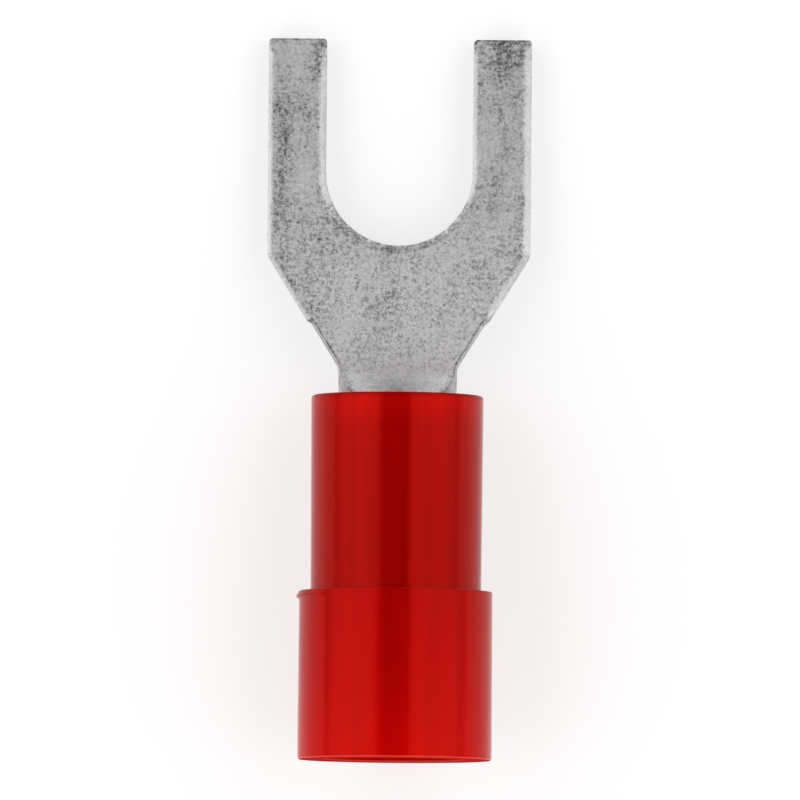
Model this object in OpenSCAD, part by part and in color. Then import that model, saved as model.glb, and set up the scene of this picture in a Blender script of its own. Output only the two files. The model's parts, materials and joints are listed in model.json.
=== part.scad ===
// Insulated fork terminal: one stamped and rolled piece of tinned sheet, held in a two-diameter sleeve.
// The slot's round end is centred on the origin and the tongue's underside lies at z = 0.
// The prongs point along +Y, the wire goes in from -Y, and the rolled edges of the sheet face +Z.

/* [Fork tongue] */
// Width of the slot that goes round the stud
slot_w = 4.3; // [3.2:0.1:6.4]
// From the centre of the slot's round end to the tips of the prongs
prong_len = 3.9; // [2:0.02:9]
// Width of each prong
prong_w = 1.7; // [1.3:0.05:3]
// From the centre of the slot's round end back to the shoulders
shoulder_back = 2.45; // [1.6:0.05:4]
// Angle between each tapering side and the terminal's length
taper_deg = 31.8; // [24:0.1:45]
// How far the neck's own trimming cut steps in from the fork's
trim_step = 0.09; // [0.02:0.01:0.2]
// From the neck's corners forward to that step
trim_forward = 1.33; // [0.6:0.01:1.8]
// Rounding of the corners at the tips
tip_round = 0.12; // [0.05:0.01:0.4]
// Rounding of the shoulders
shoulder_round = 0.45; // [0.1:0.05:1]
// Rounding inside the neck's corners
neck_round = 0.5; // [0.2:0.05:1]

/* [Sheet and its edges] */
// Thickness of the sheet
sheet_t = 0.8; // [0.5:0.05:1]
// Width of the rolled-over edge on the upper face of the fork
roll_w = 0.23; // [0.12:0.01:0.3]
// Radius of the rolled-over edge
roll_r = 0.34; // [0.25:0.01:0.45]
// How far the cutting punch sat to one side, which widens the edges that face +X
punch_shift = 0.06; // [0:0.01:0.07]

/* [Barrel] */
// Bore that takes the stripped conductor
barrel_bore = 1.87; // [1.4:0.01:2.2]
// Length of the rolled barrel
barrel_len = 5; // [3.5:0.1:5.4]
// Bevel inside the barrel's rear edge, which leads the conductor in
lead_in = 0.2; // [0.16:0.01:0.4]
// Width of the butt seam along the top of the barrel
seam_gap = 0.05; // [0.02:0.01:0.15]
// From the neck's corners back to the front of the barrel
neck_len = 1; // [0.6:0.02:2]

/* [Sleeve] */
// How far the sleeve stands ahead of the barrel's front
sleeve_ahead = 0.1; // [0.05:0.01:0.15]
// Play between the barrel and the sleeve, on the radius
barrel_play = 0.01; // [0.005:0.005:0.05]
// Wall of the front part, round the barrel
front_wall = 0.77; // [0.5:0.01:0.86]
// How much thinner that wall is at the shoulder, from moulding draft
front_draft = 0.025; // [0:0.005:0.05]
// Length of the front part
front_len = 5.71; // [5.4:0.01:8]
// Bore that takes the wire's insulation
wire_bore = 4.2; // [3.9:0.05:6]
// Wall of the rear part, round the wire
rear_wall = 0.72; // [0.5:0.02:1.2]
// How much thicker that wall is at the rear end
rear_flare = 0.015; // [0:0.005:0.05]
// Length of the rear part
rear_len = 4.92; // [3.5:0.01:9]
// Thickness of the web that stops the barrel
web_t = 0.2; // [0.1:0.05:0.4]
// Angle between the funnel's wall and the sleeve's length
funnel_deg = 40; // [30:1:55]
// Rounding of the rims
rim_round = 0.07; // [0.05:0.01:0.2]
// Section radius of the moulding flash behind the shoulder's edge
flash_r = 0.15; // [0.06:0.01:0.16]
// How far the flash stands out on the -X side, where it is highest
flash_out = 0.095; // [0.02:0.005:0.12]
// How far the mould halves were out of line, which draws the flash to that side
flash_shift = 0.3; // [0.1:0.01:0.4]

/* [Hidden] */
$fn = 96;

slot_r = slot_w / 2;
fork_half = slot_r + prong_w;
bore_r = barrel_bore / 2;
barrel_r = bore_r + sheet_t;
taper_run = (fork_half - trim_step - barrel_r) / tan(taper_deg);
neck_y = -shoulder_back - taper_run;
curl_y = neck_y - neck_round * tan(taper_deg / 2);
barrel_y = neck_y - neck_len;
step_y = neck_y + trim_forward;
step_x = barrel_r + trim_forward * tan(taper_deg);

// Rolled edge: a quarter round whose top just clears the face, so that it meets the face at this angle
roll_meet_deg = 5;
roll_centre = [roll_w + roll_r * sin(roll_meet_deg), -roll_r * cos(roll_meet_deg)];
// How far a cutting tool runs past the faces that it opens
past = 0.5;

// Curl from flat neck to barrel: the sheet's edges lift slowly, then wrap round all at once
curl_steps = 20;
curl_sides = 24;
slow_share = 0.42;
slow_power = 1.5;
fast_power = 6;
// Each end of the curl runs on this far inside the tongue or the barrel, this far under their faces
curl_root = 0.1;
curl_sink = 0.005;

rim_y = barrel_y + sleeve_ahead;
seat_r = barrel_r + barrel_play;
front_r = seat_r + front_wall;
waist_r = front_r - front_draft;
wire_r = wire_bore / 2;
shoulder_r = wire_r + rear_wall;
rear_r = shoulder_r + rear_flare;
web_r = bore_r + lead_in;
sleeve_len = front_len + rear_len;
web_front = sleeve_ahead + barrel_len;
web_back = web_front + web_t;
funnel_back = web_back + (wire_r - web_r) / tan(funnel_deg);
// The flash's section starts this far behind the shoulder's face
flash_behind = 0.02;
flash_middle = [shoulder_r + flash_out - flash_shift - flash_r, front_len + flash_behind + flash_r];

// Outline helpers

function unit(v) = v / norm(v);

// The corner at b between a and c as an arc of radius r, or the bare corner where r is 0
function rounded(a, b, c, r, steps = 8) =
    let (
        u = unit(a - b),
        v = unit(c - b),
        half = acos(u * v) / 2,
        centre = b + unit(u + v) * r / sin(half),
        start = b + u * r / tan(half) - centre,
        end = b + v * r / tan(half) - centre,
        sweep = atan2(cross(start, end), start * end),
        first = atan2(start.y, start.x)
    )
    r == 0 ? [b] : [for (i = [0:steps])
        let (angle = first + sweep * i / steps)
        centre + r * [cos(angle), sin(angle)]];

function flat(p) = [p.x, p.y];

// Every corner of a closed outline of [x, y, radius] points, each rounded by its own radius
function rounded_outline(points) =
    let (n = len(points))
    [for (i = [0:n - 1])
        each rounded(flat(points[(i + n - 1) % n]), flat(points[i]), flat(points[(i + 1) % n]), points[i].z)];

// Stamped terminal

step_outer = [step_x + trim_step, step_y];
shoulder = [fork_half, -shoulder_back];
tip_outer = [fork_half, prong_len];
tip_inner = [slot_r, prong_len];
slot_start = [slot_r, 0];

right_side = [
    [barrel_r, curl_y, 0],
    [barrel_r, neck_y, neck_round],
    [step_x, step_y, 0],
    [step_outer.x, step_outer.y, 0],
    [shoulder.x, shoulder.y, shoulder_round],
    [tip_outer.x, tip_outer.y, tip_round],
    [tip_inner.x, tip_inner.y, tip_round],
    [slot_start.x, slot_start.y, 0],
];
left_side = [for (i = [len(right_side) - 1:-1:0]) [-right_side[i].x, right_side[i].y, right_side[i].z]];

// The tongue's outline, with the slot's round end cut by a true circle
module tongue_outline() {
    difference() {
        polygon(rounded_outline(concat(right_side, left_side)));
        circle(slot_r);
    }
}

// Section of the tool that rolls an edge over: x runs into the sheet from its edge, y up from its face
module roll_section() {
    difference() {
        translate([-past, roll_centre.y])
            square([past + roll_centre.x, past - roll_centre.y]);
        translate(roll_centre)
            circle(roll_r);
    }
}

// Rolls the straight edge from a to b, with the sheet on its left, running past either end where asked
module roll_edge(a, b, past_a, past_b) {
    translate([a.x, a.y, sheet_t])
        rotate(atan2(b.y - a.y, b.x - a.x))
            translate([-past_a, 0, 0])
                rotate([90, 0, 90])
                    linear_extrude(past_a + norm(b - a) + past_b)
                        roll_section();
}

// The edges on one side of the fork: along the taper, up the prong and back down the slot
module roll_side() {
    roll_edge(step_outer, shoulder, 0, past);
    roll_edge(shoulder, tip_outer, past, past);
    roll_edge(tip_inner, slot_start, past, 0);
}

// All the rolled edges, moved to one side as the punch was
module rolled_edges() {
    translate([-punch_shift, 0, 0]) {
        roll_side();
        mirror([1, 0, 0])
            roll_side();
        translate([0, 0, sheet_t])
            rotate(180)
                rotate_extrude(angle = 180)
                    translate([slot_r, 0])
                        roll_section();
    }
}

module tongue() {
    difference() {
        linear_extrude(sheet_t)
            tongue_outline();
        rolled_edges();
    }
}

// Half the angle that the sheet wraps through, at a share s of the way from the flat neck to the barrel
function curl_half(s) = 90 * (slow_share * pow(s, slow_power) + (1 - slow_share) * pow(s, fast_power));

// A point of the curled section: side from -1 to 1 across the sheet, depth from 0 outside to sheet_t inside
function curl_point(s, side, depth) =
    let (half = curl_half(s), r = barrel_r / sin(half))
    s == 0 ? [side * barrel_r, depth] : [(r - depth) * sin(side * half), r - (r - depth) * cos(side * half)];

// The sheet's section there, once round: along the outside and back along the inside, sunk under its faces
function curl_ring(s, y, sink) =
    let (
        sides = [for (j = [0:curl_sides]) (2 * j / curl_sides - 1) * (1 - (1 - s) * sink / barrel_r)],
        outside = [for (side = sides) curl_point(s, side, sink)],
        inside = [for (side = sides) curl_point(s, -side, sheet_t - sink)]
    )
    [for (p = concat(outside, inside)) [p.x, y, p.y]];

// The neck's curl: rings of one sheet section, closer together as the wrap speeds up, rooted at both ends
module curl() {
    ring = 2 * (curl_sides + 1);
    last = (curl_steps + 2) * ring;
    shares = [for (k = [0:curl_steps]) sin(90 * k / curl_steps)];
    front_root = curl_ring(0, curl_y + curl_root, curl_sink);
    rings = [for (s = shares) each curl_ring(s, curl_y + s * (barrel_y - curl_y), s * curl_sink)];
    back_root = curl_ring(1, barrel_y - curl_root, curl_sink);
    points = concat(front_root, rings, back_root);
    walls = [for (k = [0:curl_steps + 1], j = [0:ring - 1])
        let (a = k * ring + j, b = k * ring + (j + 1) % ring)
        each [[a, a + ring, b + ring], [a, b + ring, b]]];
    front = [for (j = [0:curl_sides - 1]) [j, j + 1, ring - 2 - j, ring - 1 - j]];
    back = [for (quad = front) [for (i = [3:-1:0]) quad[i] + last]];
    polyhedron(points, concat(walls, front, back));
}

// A tube rolled from the sheet, bevelled inside where the wire goes in, with its butt seam on top
module barrel() {
    translate([0, barrel_y, barrel_r])
        rotate([90, 0, 0])
            difference() {
                cylinder(r = barrel_r, h = barrel_len);
                translate([0, 0, -past])
                    cylinder(r = bore_r, h = barrel_len + 2 * past);
                translate([0, 0, barrel_len - lead_in])
                    cylinder(r1 = bore_r, r2 = bore_r + lead_in + past, h = lead_in + past);
                translate([-seam_gap / 2, 0, -past])
                    cube([seam_gap, barrel_r + past, barrel_len + 2 * past]);
            }
}

module stamped_terminal() {
    color([0.68, 0.68, 0.67])
        union() {
            tongue();
            curl();
            barrel();
        }
}

// Insulating sleeve

// Furthest that the curl's edges reach from the barrel's axis at the sleeve's rim
rim_curl_half = curl_half((rim_y - curl_y) / (barrel_y - curl_y));
mouth_r = barrel_r * norm([1, 1 - tan(rim_curl_half / 2)]) + barrel_play;

// Half the sleeve's section: x is the radius and y runs back from the front rim
module sleeve_section() {
    polygon([
        [mouth_r, 0],
        [front_r - rim_round, 0],
        [front_r, rim_round],
        [waist_r, front_len],
        [shoulder_r, front_len],
        [rear_r, sleeve_len - rim_round],
        [rear_r - rim_round, sleeve_len],
        [wire_r + rim_round, sleeve_len],
        [wire_r, sleeve_len - rim_round],
        [wire_r, funnel_back],
        [web_r, web_back],
        [web_r, web_front],
        [seat_r, web_front],
        [seat_r, sleeve_ahead],
    ]);
    translate([front_r - rim_round, rim_round])
        circle(rim_round);
    translate([rear_r - rim_round, sleeve_len - rim_round])
        circle(rim_round);
    translate([wire_r + rim_round, sleeve_len - rim_round])
        circle(rim_round);
}

// Flash where the halves of the mould met: half a ring, out of line with the rear part, so that it stands out
// in the middle and sinks into the wall towards its ends
module flash() {
    translate([-flash_shift, 0, 0])
        rotate(90)
            rotate_extrude(angle = 180)
                translate(flash_middle)
                    circle(flash_r);
}

module insulating_sleeve() {
    color([0.70, 0.04, 0.03])
        translate([0, rim_y, barrel_r])
            rotate([90, 0, 0])
                union() {
                    rotate_extrude()
                        sleeve_section();
                    flash();
                }
}

stamped_terminal();
insulating_sleeve();
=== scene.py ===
# %% [markdown]
# # A red insulated fork terminal
# This lesson dresses a small crimp terminal: a fork stamped from tinned copper sheet, rolled into a barrel
# at its rear end and pushed into a glossy red sleeve. The imported solids give the sizes and places, and each
# surface here is worked out from them. They are loaded first, and their boxes give sizes.

# %% Load the solids
import json

import bmesh
import bpy
import numpy as np
from mathutils import Matrix, Vector


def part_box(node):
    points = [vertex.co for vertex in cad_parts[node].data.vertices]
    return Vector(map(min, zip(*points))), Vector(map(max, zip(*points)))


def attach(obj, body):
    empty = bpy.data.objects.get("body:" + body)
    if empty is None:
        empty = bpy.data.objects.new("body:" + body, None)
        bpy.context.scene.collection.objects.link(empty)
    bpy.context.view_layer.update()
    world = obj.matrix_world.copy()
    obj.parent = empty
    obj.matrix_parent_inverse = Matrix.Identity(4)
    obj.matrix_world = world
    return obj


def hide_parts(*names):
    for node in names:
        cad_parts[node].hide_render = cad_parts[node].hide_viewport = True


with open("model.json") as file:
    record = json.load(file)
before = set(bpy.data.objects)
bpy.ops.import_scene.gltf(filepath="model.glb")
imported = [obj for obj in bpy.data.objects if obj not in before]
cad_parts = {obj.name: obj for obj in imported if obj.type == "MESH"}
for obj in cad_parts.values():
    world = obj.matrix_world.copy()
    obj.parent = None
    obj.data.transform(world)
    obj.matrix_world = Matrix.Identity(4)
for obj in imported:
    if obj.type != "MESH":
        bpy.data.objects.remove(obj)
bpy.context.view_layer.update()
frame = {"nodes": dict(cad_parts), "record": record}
mounts = {mount["name"]: mount for mount in frame["record"]["mounts"]}
print("solids:", sorted(frame["nodes"]), "mounts:", sorted(mounts))

# %% [markdown]
# ## Sizes
# The frame says where the slot, the bores and the outer boxes are. The other sizes repeat the solids' own
# driving dimensions, in metres. The slot's round end is centred on the origin, the prongs point along +Y,
# and the sheet's underside lies at z = 0.

# %% Sizes of the stamped terminal
MM = 0.001
terminal_low, terminal_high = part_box("stamped_terminal")
slot_r = mounts["stud_slot"]["dims"]["r_mm"] * MM
bore_r = mounts["conductor_bore"]["dims"]["r_mm"] * MM
axis_z = mounts["conductor_bore"]["pos_m"][2]
barrel_r = axis_z
sheet = barrel_r - bore_r
fork_half = terminal_high.x
tip_y = terminal_high.y
barrel_end_y = terminal_low.y
lead_in = 0.2 * MM
barrel_len = mounts["conductor_bore"]["dims"]["length_mm"] * MM + lead_in
barrel_y = barrel_end_y + barrel_len
shoulder_y = -2.45 * MM
taper = np.radians(31.8)
trim_step = 0.09 * MM
trim_forward = 1.33 * MM
neck_round = 0.5 * MM
shoulder_round = 0.45 * MM
tip_round = 0.12 * MM
seam_gap = 0.05 * MM
neck_y = shoulder_y - (fork_half - trim_step - barrel_r) / np.tan(taper)
curl_y = neck_y - neck_round * np.tan(taper / 2)
step_y = neck_y + trim_forward
print(f"sheet {sheet / MM:.2f} mm, barrel radius {barrel_r / MM:.3f} mm, neck at y {neck_y / MM:.2f} mm")

# %% Sizes of the sleeve
sleeve_low, sleeve_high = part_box("insulating_sleeve")
rim_y = sleeve_high.y
sleeve_len = sleeve_high.y - sleeve_low.y
wire_r = mounts["wire_entry"]["dims"]["r_mm"] * MM
sleeve_ahead = rim_y - barrel_y
barrel_play = 0.01 * MM
front_wall, front_draft, front_len = 0.77 * MM, 0.025 * MM, 5.71 * MM
rear_wall, rear_flare = 0.72 * MM, 0.015 * MM
web_t, funnel = 0.2 * MM, np.radians(40)
mouth_r = 1.9 * MM
rim_round = 0.07 * MM
flash_out, flash_shift = 0.095 * MM, 0.3 * MM
seat_r = barrel_r + barrel_play
front_r = seat_r + front_wall
waist_r = front_r - front_draft
shoulder_r = wire_r + rear_wall
rear_r = shoulder_r + rear_flare
web_r = bore_r + lead_in
web_front = sleeve_ahead + barrel_len
web_back = web_front + web_t
funnel_back = web_back + (wire_r - web_r) / np.tan(funnel)
print(f"sleeve {sleeve_len / MM:.2f} mm long, {2 * front_r / MM:.2f} and {2 * rear_r / MM:.2f} mm across")

# %% [markdown]
# ## Camera
# The photograph looks almost straight down on the terminal with a long lens, a little from the wire's end,
# so that a thin crescent of the sleeve's rear rim shows. A direction and a distance are enough to build the
# camera's matrix: its three axes are right, up and back, and a small roll leans the fork to the right.

# %% The camera
look_at = Vector((0.073, -6.68, 0.8)) * MM
view_lean = np.radians(3.1)
view_roll = np.radians(0.5)
view_distance = 450 * MM
field_width = 23.4 * MM

camera = bpy.data.objects.new("camera", bpy.data.cameras.new("camera"))
camera.data.lens = camera.data.sensor_width * view_distance / field_width
camera.data.clip_end = 4 * view_distance
back = Vector((0, -np.sin(view_lean), np.cos(view_lean)))
level_up = Vector((0, np.cos(view_lean), np.sin(view_lean)))
level_right = Vector((1, 0, 0))
right = level_right * np.cos(view_roll) + level_up * np.sin(view_roll)
up = level_up * np.cos(view_roll) - level_right * np.sin(view_roll)
turn = Matrix((right, up, back)).transposed().to_4x4()
camera.matrix_world = Matrix.Translation(look_at + back * view_distance) @ turn
bpy.context.scene.collection.objects.link(camera)
bpy.context.scene.camera = camera
bpy.context.scene.view_settings.view_transform = "Standard"
print(f"camera {view_distance / MM:.0f} mm away, lens {camera.data.lens:.0f} mm")

# %% [markdown]
# ## Studio
# Glossy red plastic is mostly a mirror of its studio. The photograph shows two soft panels, left and right,
# with a dark gap straight overhead, where the camera hangs, and a dimmer strip just above the table. Area
# lamps could stand in for the panels, but the world can paint them softer and without any lamp: the angle
# across the terminal, from overhead, goes through a ramp, and the gap ends towards the front and the rear.
# The strength leaves the light on a level face a little below 1, so that a colour renders about as it is
# written. Only the camera's own rays see plain white instead.

# %% Helpers for shader nodes
def add_node(tree, kind, **settings):
    """A node of this kind; each setting is a property of it."""
    made = tree.nodes.new(kind)
    for name, value in settings.items():
        setattr(made, name, value)
    return made


def feed(tree, target, **inputs):
    """Links an output socket, or sets a value, to each named input, with _ for a space or before a number."""
    for name, value in inputs.items():
        socket = target.inputs[int(name[1:])] if name[0] == "_" else target.inputs[name.replace("_", " ")]
        if isinstance(value, bpy.types.NodeSocket):
            tree.links.new(value, socket)
        else:
            socket.default_value = value
    return target


def math_node(tree, operation, *values, clamp=False):
    """The output of a Math node on these sockets or numbers."""
    made = add_node(tree, "ShaderNodeMath", operation=operation, use_clamp=clamp)
    feed(tree, made, **{f"_{i}": value for i, value in enumerate(values)})
    return made.outputs[0]


def ramp_node(tree, value, stops, interpolation="LINEAR"):
    """The colour of a ramp with these (place, grey or colour) stops."""
    made = add_node(tree, "ShaderNodeValToRGB")
    made.color_ramp.interpolation = interpolation
    elements = made.color_ramp.elements
    while len(elements) < len(stops):
        elements.new(0.5)
    for element, (place, colour) in zip(elements, stops):
        element.position = place
        element.color = (*colour, 1) if isinstance(colour, tuple) else (colour, colour, colour, 1)
    feed(tree, made, Fac=value)
    return made.outputs["Color"]


def seen_rays(tree):
    """1 for the rays that see a backdrop: camera, glossy and transmission rays."""
    path = add_node(tree, "ShaderNodeLightPath").outputs
    straight = math_node(tree, "MAXIMUM", path["Is Camera Ray"], path["Is Glossy Ray"])
    return math_node(tree, "MAXIMUM", straight, path["Is Transmission Ray"])


# %% The studio's world
# Brightness of the studio by the angle across the terminal, in degrees from overhead, minus to the left
studio_stops = [
    (-90, 0.5), (-84, 0.55), (-78, 0.85), (-52, 1.02), (-35, 0.98), (-26, 0.75), (-18, 0.08),
    (15, 0.08), (20, 0.75), (34, 0.9), (78, 0.85), (84, 0.55), (90, 0.5),
]
gap_end, gap_end_grey = (0.4, 0.7), 0.3
studio_strength = 1.25

world = bpy.data.worlds.new("studio")
world.use_nodes = True
bpy.context.scene.world = world
tree = world.node_tree
tree.nodes.clear()
ray = add_node(tree, "ShaderNodeTexCoord").outputs["Generated"]
across = feed(tree, add_node(tree, "ShaderNodeSeparateXYZ"), Vector=ray).outputs
angle = math_node(tree, "ARCTAN2", across["X"], across["Z"])
place = math_node(tree, "MULTIPLY_ADD", angle, 1 / np.pi, 0.5, clamp=True)
panels = ramp_node(tree, place, [(degrees / 180 + 0.5, grey) for degrees, grey in studio_stops])
ends = feed(tree, add_node(tree, "ShaderNodeMapRange", interpolation_type="SMOOTHSTEP"),
            _0=math_node(tree, "ABSOLUTE", across["Y"]), _1=gap_end[0], _2=gap_end[1], _3=0, _4=gap_end_grey)
panels = math_node(tree, "MAXIMUM", panels, ends.outputs[0])
studio = feed(tree, add_node(tree, "ShaderNodeBackground"), Color=panels, Strength=studio_strength)
backdrop = feed(tree, add_node(tree, "ShaderNodeBackground"), Color=(1, 1, 1, 1), Strength=1)
to_camera = add_node(tree, "ShaderNodeLightPath").outputs["Is Camera Ray"]
mixed = feed(tree, add_node(tree, "ShaderNodeMixShader"), Fac=to_camera)
feed(tree, mixed, _1=studio.outputs[0], _2=backdrop.outputs[0])
feed(tree, add_node(tree, "ShaderNodeOutputWorld"), Surface=mixed.outputs[0])
print(f"studio: {len(studio_stops)} steps of brightness across, strength {studio_strength}")

# %% [markdown]
# ## Floor
# The terminal can't lie level: its sleeve is thicker than the sheet. It rests on the prongs' tips and on the
# sleeve's shoulder, which tilts it by about four degrees, so in the part's own frame the floor leans
# instead. It is a grid of grey paper, and Light Path adds white for the rays that look at it, from the camera
# or off a glossy piece. That makes it pale without more light, and it keeps the soft shadow.

# %% Helpers for meshes
sewing_gap = 0.0002 * MM


def put_mesh(name, points, faces, attributes=None):
    """A mesh object at the origin from an array of points and lists of faces, with doubles merged and every
    face turned outwards; attributes are arrays of one number for each point."""
    mesh = bpy.data.meshes.new(name)
    mesh.from_pydata(points.reshape(-1, 3).tolist(), [], faces)
    for title, values in (attributes or {}).items():
        mesh.attributes.new(title, "FLOAT", "POINT").data.foreach_set("value", values.ravel())
    shell = bmesh.new()
    shell.from_mesh(mesh)
    bmesh.ops.remove_doubles(shell, verts=shell.verts, dist=sewing_gap)
    bmesh.ops.recalc_face_normals(shell, faces=shell.faces)
    shell.to_mesh(mesh)
    open_edges = sum(not edge.is_manifold for edge in shell.edges)
    volume = shell.calc_volume(signed=True) / MM**3
    shell.free()
    piece = bpy.data.objects.new(name, mesh)
    bpy.context.scene.collection.objects.link(piece)
    print(f"{name}: {len(mesh.polygons)} faces, {open_edges} open edges, {volume:.1f} mm3")
    return piece


def grid_faces(rows, columns, first=0, round_rows=False, round_columns=False):
    """Quads between neighbours in a grid of rows and columns of points, joined up where it is round."""
    i = np.arange(rows if round_rows else rows - 1)[:, None]
    j = np.arange(columns if round_columns else columns - 1)[None, :]
    near, far = i * columns, (i + 1) % rows * columns
    here, there = j, (j + 1) % columns
    corners = np.stack((near + here, near + there, far + there, far + here), axis=-1)
    return (first + corners.reshape(-1, 4)).tolist()


# %% The floor
shoulder_line = np.array([rim_y - front_len, axis_z - shoulder_r])
tip_line = np.array([tip_y, 0.0])
floor_slope = (tip_line[1] - shoulder_line[1]) / (tip_line[0] - shoulder_line[0])
floor_half, floor_count = 75 * MM, 13
floor_reach = np.linspace(-floor_half, floor_half, floor_count)
floor_x, floor_y = np.meshgrid(floor_reach, floor_reach)
floor_z = floor_slope * (floor_y - tip_y)
floor_points = np.stack((floor_x, floor_y, floor_z), axis=-1)
floor = put_mesh("floor", floor_points, grid_faces(floor_count, floor_count))

paper_grey, floor_lift = 0.5, 0.64
paper = bpy.data.materials.new("pale_paper")
paper.use_nodes = True
tree = paper.node_tree
tree.nodes.clear()
matt = feed(tree, add_node(tree, "ShaderNodeBsdfDiffuse"), Color=(paper_grey, paper_grey, paper_grey, 1))
lift = add_node(tree, "ShaderNodeEmission")
feed(tree, lift, Strength=math_node(tree, "MULTIPLY", seen_rays(tree), floor_lift))
whole = add_node(tree, "ShaderNodeAddShader")
feed(tree, whole, _0=matt.outputs[0], _1=lift.outputs[0])
feed(tree, add_node(tree, "ShaderNodeOutputMaterial"), Surface=whole.outputs[0])
floor.data.materials.append(paper)
print(f"floor leans {np.degrees(np.arctan(floor_slope)):.2f} degrees")

# %% [markdown]
# ## The fork's outline
# The blank is cut by punches, so its outline is only lines and arcs: round the neck's corner, up the taper,
# over the small step where two cuts meet, round the shoulder, up the prong, over its tip and down into the
# slot. Each stretch gives its points and the normals that point out of the metal. The left side mirrors the
# right, except for the step: on the left the two cuts meet sharply, on the right they run into each other.

# %% The outline's stretches
def smooth(x):
    """0 below 0, 1 above 1, and 3x^2 - 2x^3 between."""
    x = np.clip(x, 0, 1)
    return x * x * (3 - 2 * x)


def arc_run(centre, radius, start, stop, count, metal_outside=False):
    """Centre plus radius times the ray (cos, sin) of each angle; the normal is that ray, or its opposite."""
    angle = np.radians(np.linspace(start, stop, count))
    rays = np.column_stack((np.cos(angle), np.sin(angle)))
    return np.asarray(centre) + radius * rays, -rays if metal_outside else rays


def line_run(start, stop, normal, count):
    """Even steps from start to stop, all with one normal."""
    return np.linspace(start, stop, count), np.tile(normal, (count, 1))


def taper_run(y, step_at, step_length):
    """The tapering side at each y: the neck's own line, and further out by the trim step past step_at."""
    x = barrel_r + (y - neck_y) * np.tan(taper) + trim_step * smooth((y - step_at) / step_length)
    return np.column_stack((x, y)), np.tile((np.cos(taper), -np.sin(taper)), (len(y), 1))


def right_side(step_length):
    """Points and normals from the neck to the slot's middle; the last number of a run counts its points."""
    degrees = np.degrees(taper)
    tangent = np.tan(taper / 2)
    shoulder_centre = (fork_half - shoulder_round, shoulder_y + shoulder_round * tangent)
    taper_low = curl_y + neck_round * np.sin(taper)
    taper_high = shoulder_centre[1] - shoulder_round * np.sin(taper)
    step_start = step_y - step_length / 2
    taper_y = np.concatenate((
        np.linspace(taper_low, step_start, 24),
        np.linspace(step_start, step_start + step_length, 17)[1:],
        np.linspace(step_start + step_length, taper_high, 40)[1:],
    ))
    tip_low = tip_y - tip_round
    runs = [
        arc_run((barrel_r + neck_round, curl_y), neck_round, 180, 180 - degrees, 14, metal_outside=True),
        taper_run(taper_y, step_start, step_length),
        arc_run(shoulder_centre, shoulder_round, -degrees, 0, 14),
        line_run((fork_half, shoulder_centre[1]), (fork_half, tip_low), (1, 0), 90),
        arc_run((fork_half - tip_round, tip_low), tip_round, 0, 90, 12),
        line_run((fork_half - tip_round, tip_y), (slot_r + tip_round, tip_y), (0, 1), 24),
        arc_run((slot_r + tip_round, tip_low), tip_round, 90, 180, 12),
        line_run((slot_r, tip_low), (slot_r, 0), (-1, 0), 70),
        arc_run((0, 0), slot_r, 0, -90, 60, metal_outside=True),
    ]
    points = np.concatenate([points[1:] if i else points for i, (points, normals) in enumerate(runs)])
    normals = np.concatenate([normals[1:] if i else normals for i, (points, normals) in enumerate(runs)])
    return points, normals


# %% The whole outline
right_step, left_step = 0.22 * MM, 0.05 * MM
mirror = np.array([-1, 1])
right_points, right_normals = right_side(right_step)
left_points, left_normals = right_side(left_step)
outline = np.concatenate((right_points, (left_points * mirror)[-2::-1]))
normals = np.concatenate((right_normals, (left_normals * mirror)[-2::-1]))
print(f"outline: {len(outline)} points, {np.ptp(outline[:, 0]) / MM:.2f} mm wide")

# %% [markdown]
# ## The cut edge
# A punch first drags the sheet's face down, which rolls the edge over, then cuts a bright band, then tears
# the rest, which leans in a little. On the fork the rolled edge faces up. The neck is trimmed from the other
# side, so there the torn part is on top and ends in a sharp burr. The profile across the edge is therefore a
# function of the place along the outline: columns run from the upper face, over the edge, to the underside.
# Bevel would give one even edge all round, so the profile is worked out here instead. Each point also carries
# two numbers for the finish: painted shade, where the edge is darkened, and rolled, where the punch has
# polished it and a highlight is painted.

# %% The edge's profile
roll_w, roll_r, roll_meet = 0.23 * MM, 0.34 * MM, np.radians(5)
punch_shift = 0.06 * MM
least_roll = 0.03 * MM
margin = 0.04 * MM
torn_lean, burr_lean = 0.03 * MM, 0.06 * MM
tip_fade, tip_gloss_fade = 0.45 * MM, 1.0 * MM
right_step_fade, left_step_fade = 0.5 * MM, 0.08 * MM
bottom_soft = 0.02 * MM
roll_columns = 9
wall_shares = np.array([0.1, 0.28, 0.45, 0.7, 0.97])
# Waviness of the roll: its usual share of the full width, and waves of (share, radians per mm of outline)
usual_roll = 0.9
roll_waves = [(0.04, 2.3), (0.03, 5.9), (0.03, 13.7)]

x, y = outline.T
step_fade = np.where(x > 0, right_step_fade, left_step_fade)
on_fork = smooth((y - step_y + step_fade / 4) / step_fade)
fading = smooth((tip_y - tip_round / 2 - y) / tip_fade)
steps = np.linalg.norm(np.diff(outline, axis=0, prepend=outline[:1]), axis=1)
run = np.cumsum(steps) / MM
uneven = usual_roll - sum(share * np.sin(pace * run) for share, pace in roll_waves)
roll = least_roll + (roll_w + punch_shift * normals[:, 0] - least_roll) * on_fork * fading * uneven
last_turn = np.arcsin((roll + roll_r * np.sin(roll_meet)) / roll_r)
turns = roll_meet + (last_turn - roll_meet)[:, None] * np.linspace(0, 1, roll_columns)
top_lean = (burr_lean * (1 - on_fork))[:, None]
low_lean = (torn_lean * on_fork)[:, None]


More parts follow.
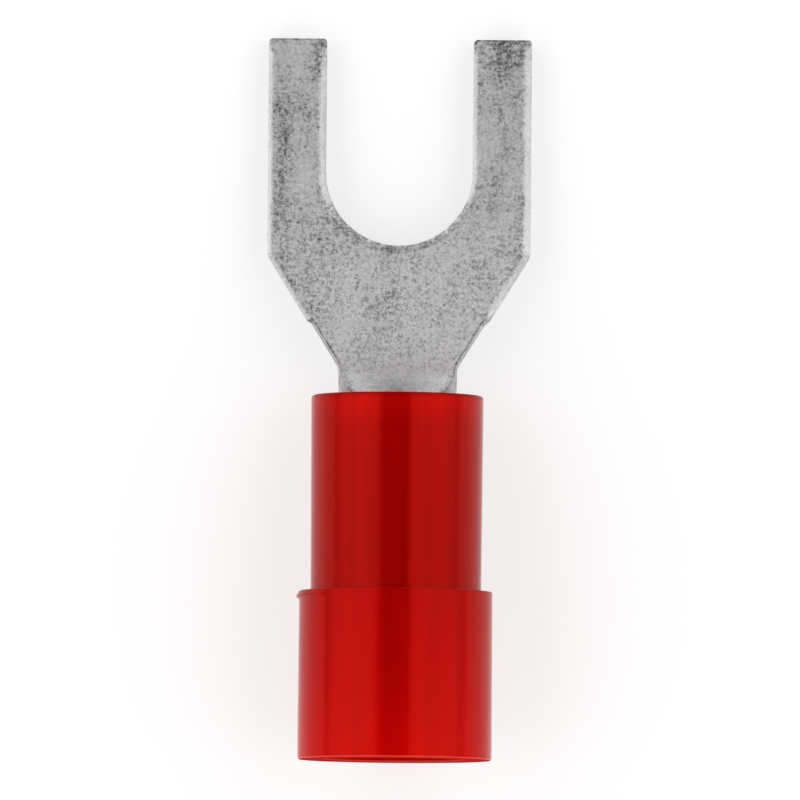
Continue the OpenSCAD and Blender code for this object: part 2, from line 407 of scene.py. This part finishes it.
def edge_profile():
    """For each outline point, how far in and how far down each column lies. The roll is an arc: in by its
    width less r sin(turn), down by r cos(first turn) - r cos(turn). Below it the wall leans out from the burr
    to its middle and back in where it is torn."""
    roll_in = top_lean + roll[:, None] + roll_r * (np.sin(roll_meet) - np.sin(turns))
    roll_down = roll_r * (np.cos(roll_meet) - np.cos(turns))
    streaks_and_shade = roll_down[:, -1:]
    middle = wall_shares[2]
    wall_in = top_lean * np.clip(1 - wall_shares / middle, 0, 1)
    wall_in = wall_in + low_lean * np.clip((wall_shares - middle) / (1 - middle), 0, 1)
    wall_down = streaks_and_shade + (sheet - streaks_and_shade) * wall_shares
    flat = np.zeros_like(streaks_and_shade)
    inward = np.hstack((roll_in[:, :1] + margin, roll_in, wall_in, low_lean + bottom_soft,
                        low_lean + bottom_soft + margin))
    downward = np.hstack((flat, roll_down, wall_down, flat + sheet, flat + sheet))
    return inward, downward


inward, downward = edge_profile()
columns = inward.shape[1]
edge_xy = outline[:, None, :] - normals[:, None, :] * inward[:, :, None]
edge_points = np.dstack((edge_xy, sheet - downward))
print(f"rolled edge from {roll.min() / MM:.3f} to {roll.max() / MM:.3f} mm wide, {columns} columns")

# %% The edge's painted shade and polish
# Painted shade along the cut edges: its strength on the slot, on the tapering sides and on the walls
slot_shade, taper_shade, wall_shade = 0.75, 0.3, 0.35
left_step_reach = 0.035 * MM
break_share, break_paces = 0.3, (9.1, 4.3)
gloss_columns = 4

# Painted shade: dark along the trimmed neck, broken up along its length, on edges that face forwards, and
# less on the others
broken = 1 - break_share + break_share * np.sin(break_paces[0] * run) * np.sin(break_paces[1] * run)
forward = smooth(2 * normals[:, 1] - 0.6)
backward = on_fork * smooth(-2 * normals[:, 1])
dark_edge = np.maximum(1 - on_fork, np.where(y > 0, forward, slot_shade * forward))
burr = np.zeros_like(inward)
burr[:, 1:roll_columns + 1] = np.maximum(dark_edge * broken, taper_shade * backward)[:, None]
burr[:, roll_columns:] = np.maximum(burr[:, roll_columns:], wall_shade * on_fork[:, None])
at_left_step = np.where(x < 0, np.exp(-((y - step_y) / left_step_reach) ** 2), 0)[:, None]
burr[:, roll_columns - 1:] = np.maximum(burr[:, roll_columns - 1:], at_left_step)

# Polished: the fork's rolled edges, but not those that face forwards or lie near the tips
gloss = on_fork * smooth((tip_y - tip_round / 2 - y) / tip_gloss_fade) * smooth(2 - 4 * normals[:, 1])
rolled = np.zeros_like(inward)
rolled[:, 1:roll_columns + 1] = gloss[:, None] * smooth(np.arange(roll_columns) / gloss_columns)
rolled[:, roll_columns + 1:] = gloss[:, None]
print(f"dark share of the edge's points {burr.mean():.2f}, polished share {rolled.mean():.2f}")

# %% [markdown]
# ## The curl and the barrel
# Behind the neck the flat sheet wraps up into a tube. At each place along the curl the section is an arc of
# the same sheet: its radius is the barrel's divided by the sine of half the wrap, so the width stays that of
# the barrel. The wrap grows slowly at first and then all at once. The barrel goes on from the last section,
# closes to a thin seam on top, and its rear edge is bevelled inside to lead the wire in.

# %% Sections of the curl
slow_share, slow_power, fast_power = 0.42, 1.5, 6
least_half = 1e-4
curl_rings = 40
across_count = 64
# Painted shade inside the curl: on its cut edges, and on the inner face near them
curl_top_shade, curl_roll_shade, curl_wall_shade = 0.3, 0.5, 0.25
fold_shade, fold_sides, shade_blend = 0.15, (0.96, 0.92), 0.2

shares = np.sin(np.linspace(0, np.pi / 2, curl_rings + 1))[:, None]
inner_sides = np.linspace(-1, 1, across_count + 2)[1:-1]
first_side = 1 - inward[0] / barrel_r
last_side = 1 - inward[-1] / barrel_r
ring_sides = np.concatenate((
    first_side, -inner_sides * first_side[-1], -last_side[::-1], inner_sides * first_side[0],
))
ring_depths = np.concatenate((
    sheet - downward[0], np.zeros(across_count), sheet - downward[-1][::-1], np.full(across_count, sheet),
))
soft_edge_shade = np.zeros(columns)
soft_edge_shade[0] = curl_top_shade
soft_edge_shade[1:roll_columns + 1] = curl_roll_shade
soft_edge_shade[roll_columns + 1:-2] = curl_wall_shade
near_edge_shade = fold_shade * sum(np.abs(inner_sides) > side for side in fold_sides)
ring_edge_shade = np.concatenate((soft_edge_shade, np.zeros(across_count), soft_edge_shade[::-1], near_edge_shade))


def curl_sections(share, side, streaks_and_shade):
    """Half the wrap is 90 degrees times (0.42 share^1.5 + 0.58 share^6), and r is the barrel's radius over
    its sine. A point at depth inside the outer face is at x = (r - depth) sin(side half), and its height is
    r - (r - depth) cos(side half). A flat start is the limit of that, x = side r, height = depth."""
    half = np.pi / 2 * (slow_share * share**slow_power + (1 - slow_share) * share**fast_power)
    half = np.maximum(half, least_half)
    r = barrel_r / np.sin(half)
    px = (r - streaks_and_shade) * np.sin(side * half)
    pz = streaks_and_shade * np.cos(side * half) + 2 * r * np.sin(side * half / 2) ** 2
    py = np.broadcast_to(curl_y + share * (barrel_y - curl_y), px.shape)
    return np.stack((px, py, pz), axis=-1)


curl_points = curl_sections(shares, ring_sides, ring_depths)
curl_points[0] = np.column_stack((ring_sides * barrel_r, np.full(len(ring_sides), curl_y), ring_depths))
first_edge_shade = np.concatenate((burr[0], np.zeros(across_count), burr[-1][::-1], np.zeros(across_count)))
curl_edge_shade = first_edge_shade + (ring_edge_shade - first_edge_shade) * smooth(shares / shade_blend)
print(f"curl: {curl_rings} rings of {len(ring_sides)} points over {(curl_y - barrel_y) / MM:.2f} mm")

# %% The barrel
front_rows = 24
seam_turn = np.pi - seam_gap / 2 / barrel_r
sweep = np.linspace(0, 1, front_rows + 1)[:, None]


def tube_points(turn, streaks_and_shade, y):
    """Points at an angle round the barrel's axis, from straight down, and a depth inside its outer face."""
    px = (barrel_r - streaks_and_shade) * np.sin(turn)
    pz = axis_z - (barrel_r - streaks_and_shade) * np.cos(turn)
    return np.stack(np.broadcast_arrays(px, y, pz), axis=-1)


wall_turns = first_side * np.pi / 2
wall_depths = sheet - downward[0]
front_turns = wall_turns + (seam_turn - wall_turns) * sweep
left_wall_turns = -last_side * np.pi / 2
left_front_turns = left_wall_turns + (-seam_turn - left_wall_turns) * sweep
right_front = tube_points(front_turns, wall_depths, barrel_y)
left_front = tube_points(left_front_turns, sheet - downward[-1], barrel_y)

tube_turns = np.concatenate((
    front_turns[-1], front_turns[-2::-1, -1], -inner_sides * wall_turns[-1], left_front_turns[:-1, -1],
    left_front_turns[-1][::-1], left_front_turns[-2::-1, 0], inner_sides * wall_turns[0], front_turns[:-1, 0],
))
half_round = 2 * front_rows + across_count
tube_depths = np.concatenate((
    wall_depths, np.zeros(half_round), wall_depths[::-1], np.full(half_round, sheet),
))
bevel = 1 - lead_in / sheet
tube_rows = tube_points(
    tube_turns,
    np.stack((tube_depths, tube_depths, tube_depths * bevel)),
    np.array([[barrel_y], [barrel_end_y + lead_in], [barrel_end_y]]),
)
print(f"barrel: {tube_rows.shape[1]} points round")

# %% [markdown]
# ## The terminal in one skin
# All these stretches share their border points, so the whole terminal is one closed skin: the edge band, an
# upper and a lower face, the curl, the barrel's front, its walls and its rear end. The faces are listed with
# their own copies of the border points, and merging doubles sews them together.

# %% The stamped terminal
def upper_and_lower_faces():
    """The tongue's two flat faces as loops of points: along the outline, then back across the neck."""
    low, high = columns + across_count, 2 * columns + across_count
    upper = np.concatenate((edge_points[:, 0], curl_points[0, high:]))
    lower = np.concatenate((edge_points[:, -1], curl_points[0, columns:low][::-1]))
    return upper, lower


def sew(grids, loops):
    """Joins grids of points and single loops into one list of points with its faces."""
    points, faces, count = [], [], 0
    for grid, round_columns in grids:
        points.append(grid.reshape(-1, 3))
        faces += grid_faces(*grid.shape[:2], first=count, round_columns=round_columns)
        count += len(points[-1])
    for loop in loops:
        points.append(loop)
        faces.append(list(range(count, count + len(loop))))
        count += len(loop)
    return np.concatenate(points), faces


terminal_crease = np.radians(32)
grids = [
    (edge_points, False), (curl_points, True), (right_front, False), (left_front, False), (tube_rows, True),
]
loops = [*upper_and_lower_faces(), tube_rows[-1]]
skin_points, skin_faces = sew(grids, loops)
# The painted shade of the edges and the curl, and the rolled edges, as numbers at the mesh's points
skin_edge_shade = np.zeros(len(skin_points))
skin_edge_shade[:burr.size + curl_edge_shade.size] = np.concatenate((burr.ravel(), curl_edge_shade.ravel()))
skin_rolled = np.zeros(len(skin_points))
skin_rolled[:rolled.size] = rolled.ravel()
terminal = put_mesh("fork_terminal", skin_points, skin_faces, {"burr": skin_edge_shade, "rolled": skin_rolled})
terminal.data.shade_smooth()
terminal.data.set_sharp_from_angle(angle=terminal_crease)
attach(terminal, "root")
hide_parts("stamped_terminal")

# %% [markdown]
# ## The sleeve
# The sleeve is moulded: a slim front over the barrel, a wider rear for the wire's insulation, and inside
# them a seat, a web that stops the barrel and a funnel. It is one closed profile turned round the barrel's
# axis, which Screw could do as well. But the mould halves met a little out of line at the shoulder and left
# a lip of flash that stands out on the left only, so the radius has to be a function of both parameters.

# %% The sleeve's profile
fillet = 0.03 * MM
flash_back = 0.18 * MM
flash_ahead, flash_behind = 0.12 * MM, 0.045 * MM


def bend(centre_r, centre_s, radius, start, stop, count=10):
    """An arc of the profile: radius from the axis and distance back from the rim, by angle."""
    angle = np.radians(np.linspace(start, stop, count))
    return np.column_stack((centre_r + radius * np.cos(angle), centre_s + radius * np.sin(angle)))


def stretch(start, stop, count, crowd=1.0):
    """A straight stretch of the profile; crowd above 1 packs its points towards the start."""
    share = np.linspace(0, 1, count)[:, None] ** crowd
    return np.asarray(start) + (np.asarray(stop) - np.asarray(start)) * share


profile = np.concatenate((
    stretch((mouth_r, 0), (front_r - rim_round, 0), 8)[:-1],
    bend(front_r - rim_round, rim_round, rim_round, -90, 0),
    stretch((front_r, rim_round), (waist_r, front_len - fillet), 40)[1:-1],
    bend(waist_r + fillet, front_len - fillet, fillet, 180, 90, 7),
    bend(shoulder_r - fillet, front_len + fillet, fillet, -90, 0, 7),
    stretch((shoulder_r, front_len + fillet), (rear_r, sleeve_len - rim_round), 80, crowd=2.2)[1:-1],
    bend(rear_r - rim_round, sleeve_len - rim_round, rim_round, 0, 90),
    bend(wire_r + rim_round, sleeve_len - rim_round, rim_round, 90, 180),
    stretch((wire_r, sleeve_len - rim_round), (wire_r, funnel_back), 16)[1:],
    stretch((wire_r, funnel_back), (web_r, web_back), 8)[1:],
    stretch((web_r, web_front), (seat_r, web_front), 4),
    stretch((seat_r, web_front), (seat_r, sleeve_ahead), 14)[1:],
))
print(f"sleeve profile: {len(profile)} points")

# %% The sleeve's skin
around_count = 224
sleeve_crease = np.radians(40)
around = np.linspace(0, 2 * np.pi, around_count, endpoint=False)[None, :]


def sleeve_points():
    """x = r sin(a) and z = axis + r cos(a) at each angle a from the top, where r is the profile's radius plus
    the flash. The flash is a ring of radius R shifted to the left: from the axis it reaches
    sqrt(R^2 - (shift cos(a))^2) - shift sin(a), and only what stands out of the shoulder counts. Along the
    sleeve it is a bell curve just behind the shoulder, steep at the back, so that it droops like a hook."""
    radius, along = profile[:, :1], profile[:, 1:]
    outside = radius > waist_r + fillet
    from_lip = along - front_len - flash_back
    bell = outside * np.exp(-(from_lip / np.where(from_lip < 0, flash_ahead, flash_behind)) ** 2)
    ring_r = shoulder_r + flash_out - flash_shift
    reach = np.sqrt(ring_r**2 - (flash_shift * np.cos(around)) ** 2) - flash_shift * np.sin(around)
    r = radius + np.maximum(reach - shoulder_r, 0) * bell
    y = np.broadcast_to(rim_y - along, r.shape)
    return np.stack((r * np.sin(around), y, axis_z + r * np.cos(around)), axis=-1)


sleeve_grid = sleeve_points()
sleeve = put_mesh("insulating_sleeve_skin", sleeve_grid,
                  grid_faces(*sleeve_grid.shape[:2], round_rows=True, round_columns=True))
sleeve.data.shade_smooth()
sleeve.data.set_sharp_from_angle(angle=sleeve_crease)
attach(sleeve, "root")
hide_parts("insulating_sleeve")

# %% [markdown]
# ## Tinned copper
# The plating is dull and grainy: a fine dark fleck all over, thicker in patches, with faint scratches across
# the fork. An image could be painted for it, but noise on Object coordinates needs no unwrapping, and its
# scale is simply features per metre. Grain, scratches and patches add up to one height, which sets colour,
# roughness and bump together, so that each dark fleck is also a rough pit. Where a die has pressed, on the
# rolled edges, on one burnished mark and at the neck, the height is levelled, and on the rolled edges it is
# lifted a little, a painted highlight. The edge's number that the mesh carries paints shade: dark lines along
# the cut edges and inside the curl.

# %% Helpers for finishes
# Most of a noise's values lie between these two
noise_low, noise_high = 0.3, 0.7


def new_material(name):
    """A material, its Principled shader, and the Object coordinates and normals of its piece."""
    made = bpy.data.materials.new(name)
    made.use_nodes = True
    made.node_tree.nodes.clear()
    shader = add_node(made.node_tree, "ShaderNodeBsdfPrincipled")
    output = add_node(made.node_tree, "ShaderNodeOutputMaterial")
    feed(made.node_tree, output, Surface=shader.outputs[0])
    coordinates = add_node(made.node_tree, "ShaderNodeTexCoord").outputs
    return made, shader, coordinates["Object"], coordinates["Normal"]


def axes(tree, vector):
    """The X, Y and Z of a vector."""
    return feed(tree, add_node(tree, "ShaderNodeSeparateXYZ"), Vector=vector).outputs


def carried(tree, name):
    """A number that the mesh carries at its points."""
    return add_node(tree, "ShaderNodeAttribute", attribute_name=name).outputs["Fac"]


def noise(tree, coordinates, scale, detail=2.0, roughness=0.5, stretch=(1, 1, 1)):
    """Noise of this many features per metre, stretched along the axes."""
    stretched = feed(tree, add_node(tree, "ShaderNodeMapping"), Vector=coordinates, Scale=stretch)
    made = add_node(tree, "ShaderNodeTexNoise")
    feed(tree, made, Vector=stretched.outputs[0], Scale=scale, Detail=detail, Roughness=roughness)
    return made.outputs["Fac"]


def fade(tree, value, start, stop, low=0.0, high=1.0):
    """A number that goes smoothly from low at start to high at stop."""
    made = add_node(tree, "ShaderNodeMapRange", interpolation_type="SMOOTHSTEP")
    feed(tree, made, _0=value, _1=start, _2=stop, _3=low, _4=high)
    return made.outputs[0]


def band(tree, value, start, stop, soft):
    """1 between start and stop, with soft ends."""
    entered = fade(tree, value, start - soft, start + soft)
    left = fade(tree, value, stop - soft, stop + soft)
    return math_node(tree, "SUBTRACT", entered, left)


def product(tree, first, *others):
    """All these sockets and numbers multiplied."""
    for other in others:
        first = math_node(tree, "MULTIPLY", first, other)
    return first


def swing(tree, value, share, middle):
    """The middle plus a share of how far a value is from one half."""
    return math_node(tree, "MULTIPLY_ADD", math_node(tree, "SUBTRACT", value, 0.5), share, middle)


def scaled(tree, colour, factor):
    """A colour times a number."""
    made = add_node(tree, "ShaderNodeVectorMath", operation="SCALE")
    return feed(tree, made, _0=colour, Scale=factor).outputs[0]


# %% The plating's height
grain_scale, scratch_scale, patch_scale = 10500, 5000, 800
across_fork, along_fork = (0.12, 1.6, 1), (1.2, 0.5, 1)
scratch_share, patch_share_body, patch_share_tips = 0.14, 0.35, 0.7
patch_rise = (-3 * MM, 0.5 * MM)
worn_side, worn_soft, worn_depth = (3.2 * MM, 3.7 * MM), 0.2 * MM, 0.04
burnish_x, burnish_y = (-2.1 * MM, -0.3 * MM), (-4.54 * MM, -4.38 * MM)
burnish_soft_x, burnish_soft_y = 0.15 * MM, 0.04 * MM
pressed_neck = (-5.3 * MM, -6 * MM)
burnish_share, rolled_share, neck_share = 0.7, 0.6, 0.5
rolled_full = 0.8
quiet_rear, quiet_share = (-4.6 * MM, -4 * MM), 0.75
# A painted highlight on the rolled edges, as a lift of the height
rolled_highlight = 0.06


def plating_height(tree, where, place, rolled):
    """The grain, and the height: the grain plus shares of scratches and patches, less a little along the worn
    sides, brought back towards one half where a die has pressed, and lifted on the rolled edges as a painted
    highlight."""
    grain = noise(tree, where, grain_scale, detail=3, roughness=0.8)
    scratch = noise(tree, where, scratch_scale, stretch=across_fork)
    patch = noise(tree, where, patch_scale, detail=4, roughness=0.65, stretch=along_fork)
    patchy = fade(tree, place["Y"], *patch_rise, low=patch_share_body, high=patch_share_tips)
    height = swing(tree, patch, patchy, swing(tree, scratch, scratch_share, grain))
    worn = band(tree, math_node(tree, "ABSOLUTE", place["X"]), *worn_side, soft=worn_soft)
    height = math_node(tree, "MULTIPLY_ADD", worn, -worn_depth, height)

    burnish = product(tree, band(tree, place["X"], *burnish_x, soft=burnish_soft_x),
                      band(tree, place["Y"], *burnish_y, soft=burnish_soft_y), burnish_share)
    pressed = math_node(tree, "MAXIMUM", burnish, fade(tree, rolled, 0, rolled_full, high=rolled_share))
    pressed = math_node(tree, "MAXIMUM", pressed, fade(tree, place["Y"], *pressed_neck, high=neck_share))
    grainy = product(tree, math_node(tree, "SUBTRACT", 1, pressed),
                     fade(tree, place["Y"], *quiet_rear, low=quiet_share))
    height = swing(tree, height, grainy, 0.5)
    return grain, math_node(tree, "MULTIPLY_ADD", rolled, rolled_highlight, height)


print(f"plating: {grain_scale * MM:.1f} grains, {scratch_scale * MM:.0f} scratches per mm")

# %% Tinned copper
plating_tones = [(0.28, 0.1), (0.5, 0.68), (0.74, 0.98)]
painted_shade_grey = (0.15, 0.15, 0.145, 1)
pit_roughness, peak_roughness, curl_roughness = 0.64, 0.52, 0.08
plating_bump, plating_depth = 0.2, 0.01 * MM
# Painted light and shade, as factors on the tone: y at the start and the stop of each fade, then the factor
# before and after it
neck_painted_light = (-5 * MM, 1 * MM, 1.15, 0.95)
quiet_painted_light = (-4 * MM, -4.6 * MM, 1, 1.05)
deep_curl_shade = (-5.9 * MM, -6.6 * MM, 1, 0.78)
# Painted shade by how far a face looks up, from sideways to 0.35 of straight up
sideways_shade = (0, 0.35, 0.45, 1)
curl_start = (-5.8 * MM, -6.3 * MM)
# Where the grain is high, only a share of the painted edge shade holds
shade_on_grain = (0.65, 0.4, 0.4, 1)


def tinned_copper():
    """Grey metal: the height goes through a ramp of greys, with painted light and shade on it: brighter
    towards the neck, darker on faces that look sideways and deep in the curl; the painted edge shade is mixed
    over it, broken up by the grain."""
    made, shader, where, normal = new_material("dull_tin_plating")
    tree = made.node_tree
    place = axes(tree, where)
    grain, height = plating_height(tree, where, place, carried(tree, "rolled"))

    painted_light = product(tree, fade(tree, place["Y"], *neck_painted_light), fade(tree, place["Y"], *quiet_painted_light),
                    fade(tree, place["Y"], *deep_curl_shade), fade(tree, axes(tree, normal)["Z"], *sideways_shade))
    tone = scaled(tree, ramp_node(tree, height, plating_tones), painted_light)
    # Painted shade along the cut edges, from the number the mesh carries, broken up by the grain
    painted_shade = product(tree, carried(tree, "burr"), fade(tree, grain, *shade_on_grain))
    colour = add_node(tree, "ShaderNodeMix", data_type="RGBA")
    feed(tree, colour, _0=painted_shade, _6=tone, _7=painted_shade_grey)
    rough = math_node(tree, "ADD", fade(tree, height, noise_low, noise_high, pit_roughness, peak_roughness),
                      fade(tree, place["Y"], *curl_start, high=curl_roughness))
    bump = add_node(tree, "ShaderNodeBump")
    feed(tree, bump, Height=height, Strength=plating_bump, Distance=plating_depth)
    feed(tree, shader, Base_Color=colour.outputs[2], Roughness=rough, Metallic=1, Normal=bump.outputs[0])
    return made


terminal.data.materials.append(tinned_copper())
print("finish:", terminal.data.materials[0].name)

# %% [markdown]
# ## Red sleeve
# The sleeve is glossy moulded plastic, slightly translucent: deep red over the barrel, lighter towards both
# ends, where less lies behind it. Subsurface scattering could show that, but it is slow, so a ramp along the
# length paints that light into the colour. A slow noise shifts it a little, and fine streaks run along the
# draw of the mould. Such plastic tints what it mirrors, because part of the light comes back from under its
# skin. A small Metallic share does the same, and it is less on the sides, which mirror the floor. The end
# faces and the bore are matt. A faint lighter line near the front is painted light too, the front rim and
# edges that face forwards get painted shade, and the thin rear rim, which lets light through, gets a painted
# glow on its edge.

# %% The sleeve's colour with painted light and shade
# Painted light through the translucent plastic: the red by the share of the way back from the rim
painted_light_stops = [
    (0.0, (0.68, 0.0006, 0.0004)), (0.1, (0.49, 0.0004, 0.0003)), (0.45, (0.46, 0.0004, 0.0003)),
    (0.56, (0.54, 0.0004, 0.0003)), (0.82, (0.62, 0.0005, 0.0004)), (1.0, (0.73, 0.0006, 0.0004)),
]
cloud_scale, streak_scale = 450, 2600
cloud_stretch, streak_stretch = (1.5, 0.6, 1), (1, 0.03, 1)
cloud_share, streak_share, streak_range = 0.16, 0.07, (0.25, 0.75)
# A faint lighter line across the sleeve near the front: painted light
lighter_line, lighter_line_soft, lighter_line_lift = (0.125, 0.14), 0.006, 0.05
# Bands of how far an edge looks forwards along the sleeve: painted shade on the front band, a painted glow on
# the rear band
front_edge, front_edge_shade = (0.35, 0.9), 0.3
rear_edge, edge_soft = (-0.75, -0.3), 0.12
# Painted shade on the front rim: its factor there, and how far back it reaches
rim_shade, rim_shade_reach = 0.6, 0.022
# A painted glow on the rear rim's edge: its colour, where it starts along the sleeve, and how far up it faces
rim_painted_glow, painted_glow_start, painted_glow_facing = (0.24, 0.07, 0.045), (0.95, 0.98), (-0.3, 0.2)


def sleeve_colour(tree, where, facing, back_share):
    """The ramp's red with its painted light, at the share of the way back, moved by a slow noise; times
    streaks, a faint painted lighter line, and painted shade on the front rim and on edges that face forwards;
    plus a painted glow on the upper half of the rear edge."""
    seen_share = swing(tree, noise(tree, where, cloud_scale, detail=3, roughness=0.6, stretch=cloud_stretch),
                       cloud_share, back_share)
    streak = noise(tree, where, streak_scale, stretch=streak_stretch)
    on_lighter_line = band(tree, seen_share, *lighter_line, soft=lighter_line_soft)
    looks_forward = band(tree, facing["Y"], *front_edge, soft=edge_soft)
    streaks_and_shade = product(tree, fade(tree, streak, *streak_range, low=1 - streak_share, high=1 + streak_share),
                    math_node(tree, "MULTIPLY_ADD", on_lighter_line, lighter_line_lift, 1),
                    math_node(tree, "MULTIPLY_ADD", looks_forward, -front_edge_shade, 1),
                    fade(tree, back_share, 0, rim_shade_reach, low=rim_shade))
    red = scaled(tree, ramp_node(tree, seen_share, painted_light_stops), streaks_and_shade)
    painted_glow = product(tree, band(tree, facing["Y"], *rear_edge, soft=edge_soft),
                   fade(tree, back_share, *painted_glow_start), fade(tree, facing["Z"], *painted_glow_facing))
    added = add_node(tree, "ShaderNodeVectorMath", operation="ADD")
    return feed(tree, added, _0=red, _1=scaled(tree, rim_painted_glow, painted_glow)).outputs[0]


print(f"sleeve: {len(painted_light_stops)} shades along its length")

# %% Red sleeve
ripple_scale, ripple_bump, ripple_depth = 900, 0.05, 0.02 * MM
low_gloss, high_gloss, matt_roughness = 0.15, 0.1, 1.0
front_tint, rear_tint, side_tint = 0.25, 0.14, 0.15
plastic_ior, plastic_specular, specular_tint = 1.45, 0.11, (1, 1, 0.66, 1)
bore_edge = (1.08 * wire_r, 1.02 * wire_r)
end_facing, top_facing = (0.75, 0.95), (0.5, 0.75)
tint_change = (0.7, 1.0)


def red_sleeve():
    """Glossy red. An end face is one whose normal lies along the sleeve, and the bore is what lies within the
    wire's radius of the axis: both are matt."""
    made, shader, where, normal = new_material("glossy_red_plastic")
    tree = made.node_tree
    place, facing = axes(tree, where), axes(tree, normal)
    back_share = math_node(tree, "MULTIPLY_ADD", place["Y"], -1 / sleeve_len, rim_y / sleeve_len)
    height = math_node(tree, "SUBTRACT", place["Z"], axis_z)
    squares = math_node(tree, "MULTIPLY_ADD", place["X"], place["X"], product(tree, height, height))
    inside = fade(tree, math_node(tree, "SQRT", squares), *bore_edge)
    end_face = fade(tree, math_node(tree, "ABSOLUTE", facing["Y"]), *end_facing)
    matt = math_node(tree, "MAXIMUM", inside, end_face)

    ripple = noise(tree, where, ripple_scale)
    bump = add_node(tree, "ShaderNodeBump")
    feed(tree, bump, Height=ripple, Strength=ripple_bump, Distance=ripple_depth)
    rough = math_node(tree, "MAXIMUM", fade(tree, ripple, noise_low, noise_high, high_gloss, low_gloss),
                      product(tree, matt, matt_roughness))
    tint = product(tree, fade(tree, back_share, *tint_change, low=front_tint, high=rear_tint),
                   math_node(tree, "SUBTRACT", 1, matt), fade(tree, facing["Z"], *top_facing, low=side_tint))
    feed(tree, shader, Base_Color=sleeve_colour(tree, where, facing, back_share), Roughness=rough)
    feed(tree, shader, Metallic=tint, IOR=plastic_ior, Normal=bump.outputs[0])
    feed(tree, shader, Specular_IOR_Level=plastic_specular, Specular_Tint=specular_tint)
    return made


sleeve.data.materials.append(red_sleeve())
print("finish:", sleeve.data.materials[0].name)
